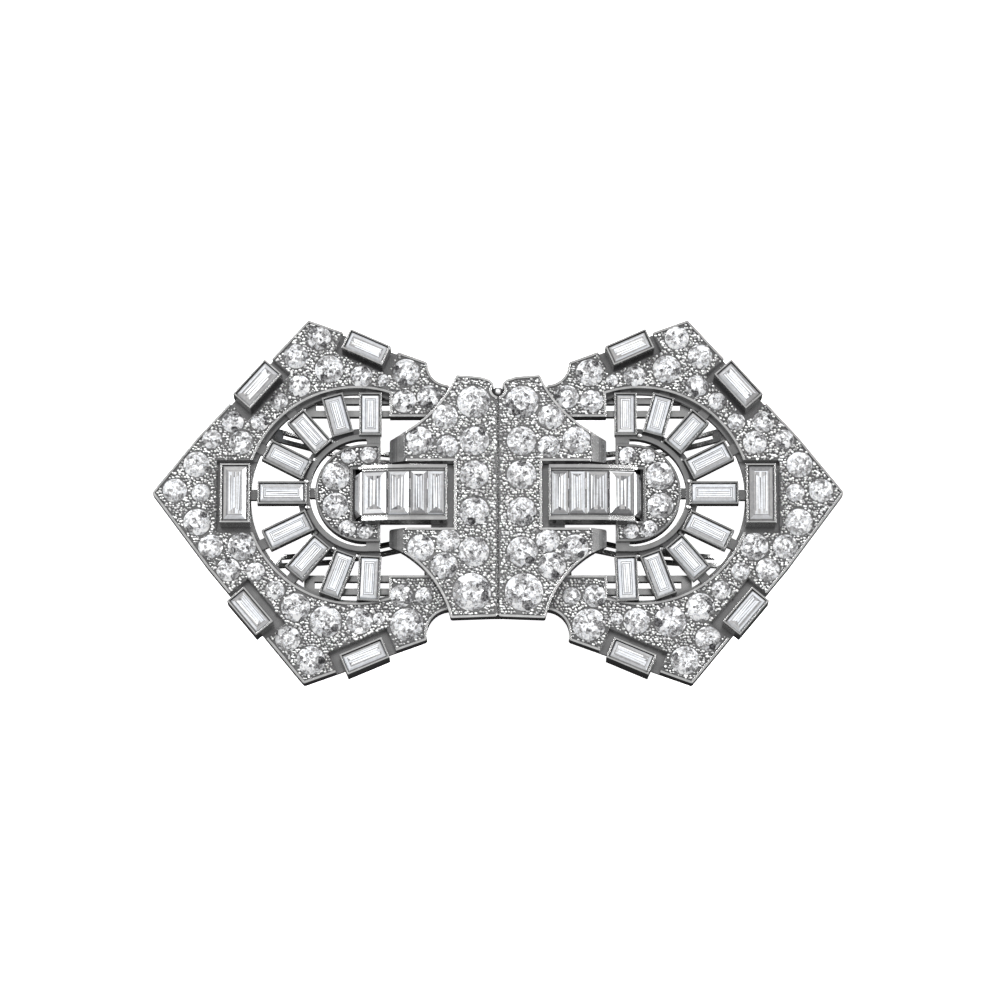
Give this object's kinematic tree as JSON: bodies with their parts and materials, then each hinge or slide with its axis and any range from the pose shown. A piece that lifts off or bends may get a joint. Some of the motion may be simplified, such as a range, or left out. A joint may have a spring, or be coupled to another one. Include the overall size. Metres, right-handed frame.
{
  "type": "double clip brooch",
  "caption": "Art Deco style double clip brooch of white metal set with round and step-cut clear stones, two mirrored clips on one pin fitting.",
  "frame": {"origin": "middle of the surface that the brooch lies on, below the middle of its box", "axes": "+X along the length from the left clip to the right clip, +Y up the face, +Z out of the face"},
  "size_m": [0.0598, 0.0322, 0.0073],
  "materials": {
    "platinum": "polished and lightly aged white metal",
    "diamond": "cut and polished clear stone"
  },
  "bodies": {
    "root": {"brooch_fitting": "platinum", "left_clip_frame": "platinum", "left_clip_fork": "platinum", "left_pave_stones": "diamond", "left_edge_baguette_1": "diamond", "left_edge_baguette_2": "diamond", "left_edge_baguette_3": "diamond", "left_edge_baguette_4": "diamond", "left_edge_baguette_5": "diamond", "left_fan_baguette_1": "diamond", "left_fan_baguette_2": "diamond", "left_fan_baguette_3": "diamond", "left_fan_baguette_4": "diamond", "left_fan_baguette_5": "diamond", "left_fan_baguette_6": "diamond", "left_fan_baguette_7": "diamond", "left_fan_baguette_8": "diamond", "left_fan_baguette_9": "diamond", "left_bridge_baguette_1": "diamond", "left_bridge_baguette_2": "diamond", "left_bridge_baguette_3": "diamond", "left_bridge_baguette_4": "diamond", "left_bridge_baguette_5": "diamond", "right_clip_frame": "platinum", "right_clip_fork": "platinum", "right_pave_stones": "diamond", "right_edge_baguette_1": "diamond", "right_edge_baguette_2": "diamond", "right_edge_baguette_3": "diamond", "right_edge_baguette_4": "diamond", "right_edge_baguette_5": "diamond", "right_fan_baguette_1": "diamond", "right_fan_baguette_2": "diamond", "right_fan_baguette_3": "diamond", "right_fan_baguette_4": "diamond", "right_fan_baguette_5": "diamond", "right_fan_baguette_6": "diamond", "right_fan_baguette_7": "diamond", "right_fan_baguette_8": "diamond", "right_fan_baguette_9": "diamond", "right_bridge_baguette_1": "diamond", "right_bridge_baguette_2": "diamond", "right_bridge_baguette_3": "diamond", "right_bridge_baguette_4": "diamond", "right_bridge_baguette_5": "diamond"}
  },
  "joints": []
}
